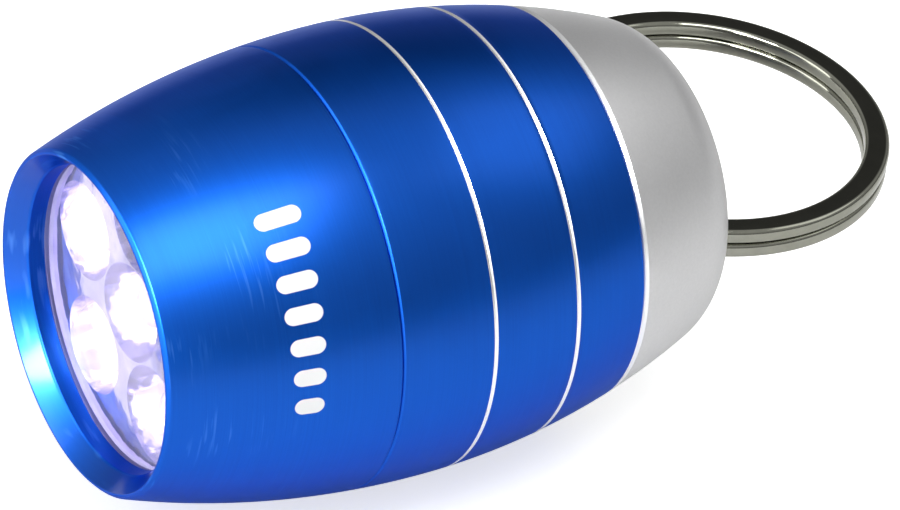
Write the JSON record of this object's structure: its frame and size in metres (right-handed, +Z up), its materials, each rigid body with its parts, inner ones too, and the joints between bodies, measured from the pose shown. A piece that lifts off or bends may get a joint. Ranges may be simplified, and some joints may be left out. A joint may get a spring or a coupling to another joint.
{
  "type": "keychain flashlight",
  "caption": "Small cask-shaped metal flashlight with a flared lens rim, a twist head, a satin tail cap and a split key ring through its hollow end.",
  "frame": {"origin": "bottom centre of the light as it lies on its belly with the split ring level", "axes": "+X from the lens to the split ring along the body, +Z up"},
  "size_m": [0.058, 0.0308, 0.028],
  "materials": {
    "anodised_body": "blue anodised, fine turned",
    "satin_cap": "satin, matte blasted",
    "ring_steel": "nickel plated",
    "clear_lens": "clear acrylic, polished",
    "reflector_chrome": "metallised plastic",
    "board": "green solder mask",
    "resistor_body": "ceramic chip",
    "seal_rubber": "moulded",
    "contact_brass": "stamped",
    "spring_steel": "drawn wire",
    "lead_wire": "tinned",
    "led_epoxy": "water clear epoxy",
    "cell_steel": "nickel plated can",
    "carrier_plastic": "moulded"
  },
  "bodies": {
    "barrel": {"barrel": "anodised_body", "battery_carrier": "carrier_plastic", "cell_front": "cell_steel", "cell_middle": "cell_steel", "cell_rear": "cell_steel"},
    "head_seal": {"head_o_ring": "seal_rubber"},
    "head": {"head_shell": "anodised_body", "lens": "clear_lens", "lens_seal": "seal_rubber", "reflector": "reflector_chrome", "circuit_board": "board", "resistor": "resistor_body", "board_contact": "contact_brass", "contact_spring": "spring_steel", "retaining_ring": "contact_brass", "led_1": "led_epoxy", "led_2": "led_epoxy", "led_3": "led_epoxy", "led_4": "led_epoxy", "led_5": "led_epoxy", "led_centre": "led_epoxy", "led_leads_1": "lead_wire", "led_leads_2": "lead_wire", "led_leads_3": "lead_wire", "led_leads_4": "lead_wire", "led_leads_5": "lead_wire", "led_leads_centre": "lead_wire"},
    "tail_seal": {"tail_o_ring": "seal_rubber"},
    "tail": {"tail_cap": "satin_cap", "tail_contact": "contact_brass", "tail_spring": "spring_steel"},
    "ring": {"split_ring": "ring_steel"}
  },
  "joints": [
    {"name": "head_advance", "type": "slide", "parent": "barrel", "child": "head_seal", "axis": [-1, 0, 0], "range_m": [0, 0.00376]},
    {"name": "head_twist", "type": "hinge", "parent": "head_seal", "child": "head", "pos_m": [-0.01489, -0.00142, 0.014], "axis": [-1, 0, 0], "range_deg": [0, 1800]},
    {"name": "tail_advance", "type": "slide", "parent": "barrel", "child": "tail_seal", "axis": [1, 0, 0], "range_m": [0, 0.00376]},
    {"name": "tail_twist", "type": "hinge", "parent": "tail_seal", "child": "tail", "pos_m": [0.00248, -0.00142, 0.014], "axis": [1, 0, 0], "range_deg": [0, 1800]},
    {"name": "ring_swing", "type": "hinge", "parent": "tail", "child": "ring", "pos_m": [0.00695, 0.00788, 0.0119], "axis": [-0.3971, -0.9178, 0], "range_deg": [-17, 30]}
  ],
  "couplings": [
    {"joint": "head_advance", "follows": "head_twist", "m_per_rad": 0.00011937},
    {"joint": "tail_advance", "follows": "tail_twist", "m_per_rad": 0.00011937}
  ]
}
